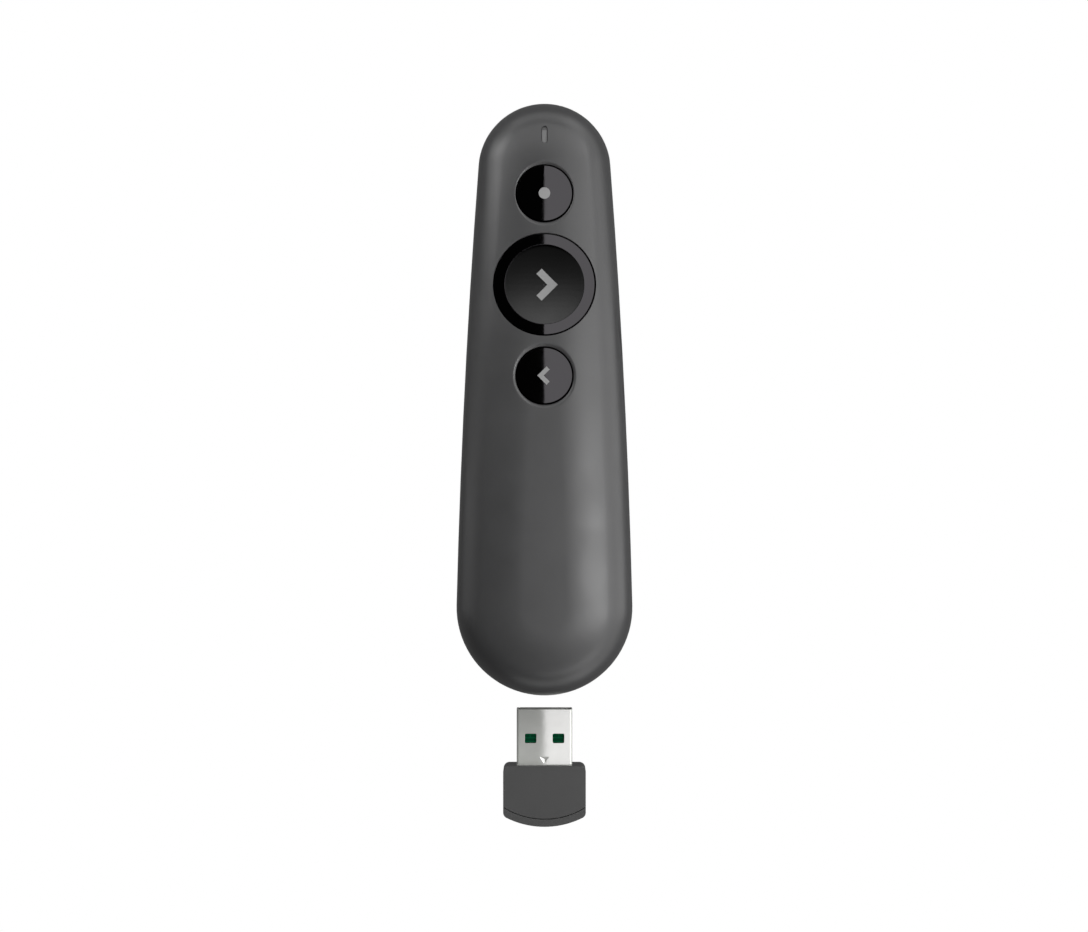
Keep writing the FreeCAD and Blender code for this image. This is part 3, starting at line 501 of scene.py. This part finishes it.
def all_materials():
    """One material for each finish slot of the record."""
    recipes = [
        moulded("body_plastic", (0.03, 0.03, 0.0306), 0.36),
        moulded("receiver_plastic", (0.029, 0.029, 0.029), 0.45),
        cap_gloss_and_gap_shade(),
        glass("dark_window", (0.03, 0.006, 0.006), 0.2),
        light_pipe(),
        board((0.0006, 0.034, 0.0135)),
        moulded("chip_black", (0.02, 0.02, 0.02), 0.5, grain=0.15 * MM),
        moulded("switch_black", (0.015, 0.015, 0.015), 0.45),
        polished("led_white", (0.75, 0.75, 0.7), 0.2),
        metal("steel", (0.55, 0.55, 0.55), 0.25, 1.0),
        metal("plug_steel", (0.4, 0.41, 0.385), 0.02, 0.44),
        metal("contact_metal", (0.6, 0.58, 0.55), 0.3, 1.0),
        metal("brass", (0.7, 0.5, 0.2), 0.25, 1.0, brushed=0.15 * MM),
        metal("gold", (0.85, 0.6, 0.25), 0.2, 1.0),
        glass("clear_glass", (0.9, 0.9, 0.9), 1.0),
        polished("battery_print", (0.12, 0.13, 0.15), 0.25),
        polished("flex_orange", (0.55, 0.2, 0.03), 0.3),
    ]
    return {recipe.slot: recipe.material for recipe in recipes}


def dress(materials):
    """Gives every CAD piece the material of its slot."""
    for part in frame["record"]["subparts"]:
        data = NODES[part["node"]].data
        data.materials.clear()
        data.materials.append(materials[part["material_slot"]])


def floor():
    """The white table, which glows evenly, as a light table does."""

    def point_at(s, t):
        return Vector(((2 * s - 1) * table_half, (2 * t - 1) * table_half, -table_drop))

    sheet = grid_mesh("floor", point_at, 1, 1)
    white = bpy.data.materials.new("white_table")
    white.use_nodes = True
    nodes, links = white.node_tree.nodes, white.node_tree.links
    glow = nodes.new("ShaderNodeEmission")
    glow.inputs["Color"].default_value = (1, 1, 1, 1)
    glow.inputs["Strength"].default_value = 1.0
    links.new(glow.outputs["Emission"], nodes["Material Output"].inputs["Surface"])
    sheet.data.materials.append(white)
    sheet.visible_diffuse = False
    sheet.visible_glossy = False
    sheet.visible_transmission = False
    sheet.visible_shadow = False
    sheet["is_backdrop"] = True


def area_light(name, place, size, radiance, receivers):
    """A rectangular studio light that lights only these pieces.

    The card lies level above the clicker, and the others face it.
    """
    data = bpy.data.lights.new(name, "AREA")
    data.shape = "RECTANGLE"
    data.size, data.size_y = size
    data.energy = radiance * math.pi * size[0] * size[1]
    lamp = link(name, data)
    lamp.location = place
    facing = Vector((0, 0, -1)) if name == "card" else -Vector(place)
    lamp.rotation_euler = facing.to_track_quat("-Z", "Y").to_euler()
    lamp.visible_camera = False
    lamp.light_linking.receiver_collection = receivers
    return lamp


def group(name, objects):
    """A collection that holds these objects besides the scene's own."""
    made = bpy.data.collections.new(name)
    for each in objects:
        made.objects.link(each)
    return made


def lights(dish):
    """A broad card that the right half of the shiny pieces mirrors, and a ring of soft lights."""
    caps = [NODES[f"{name}_button"] for name in ("laser", "next", "back")]
    shiny = [*caps, NODES["usb_shell"]]
    matt = [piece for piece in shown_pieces() if piece not in caps and piece != dish]
    lit = {
        "shiny": group("shiny pieces", shiny),
        "matt": group("matt pieces", matt),
        "dish": group("satin dish", [dish]),
    }
    for name, (place, size, radiance, kind) in LIGHTS.items():
        lamp = area_light(name, place, size, radiance, lit[kind])
        if name == "card":
            lamp.data.color = card_tint


def world():
    """A dim even surround."""
    surround = bpy.data.worlds.new("surround")
    surround.use_nodes = True
    background = surround.node_tree.nodes["Background"]
    background.inputs["Color"].default_value = (1, 1, 1, 1)
    background.inputs["Strength"].default_value = surround_strength
    bpy.context.scene.world = surround


def camera():
    """A long lens straight above, with the nose at the top of the picture."""
    data = bpy.data.cameras.new("camera")
    data.sensor_width = camera_sensor
    data.lens = camera_lens
    data.clip_start = 0.01
    eye = link("camera", data)
    eye.location = camera_place
    bpy.context.scene.camera = eye


MATERIALS = all_materials()
dress(MATERIALS)
PAINT = moulded("sign_paint", (0.165, 0.165, 0.165), 0.5, edge=0.02 * MM).material
smooth_guide("front_guide", front_edge, front_tilt, 1, ["front_shell"])
smooth_guide("back_guide", back_edge, 0.0, -1, ["back_shell", "battery_cover"])
SATIN = moulded("satin_black", (0.004, 0.004, 0.004), 0.42, edge=0.02 * MM).material
DISH = signs(PAINT, SATIN)
floor()
lights(DISH)
world()
camera()
bpy.context.scene.view_settings.view_transform = "Standard"
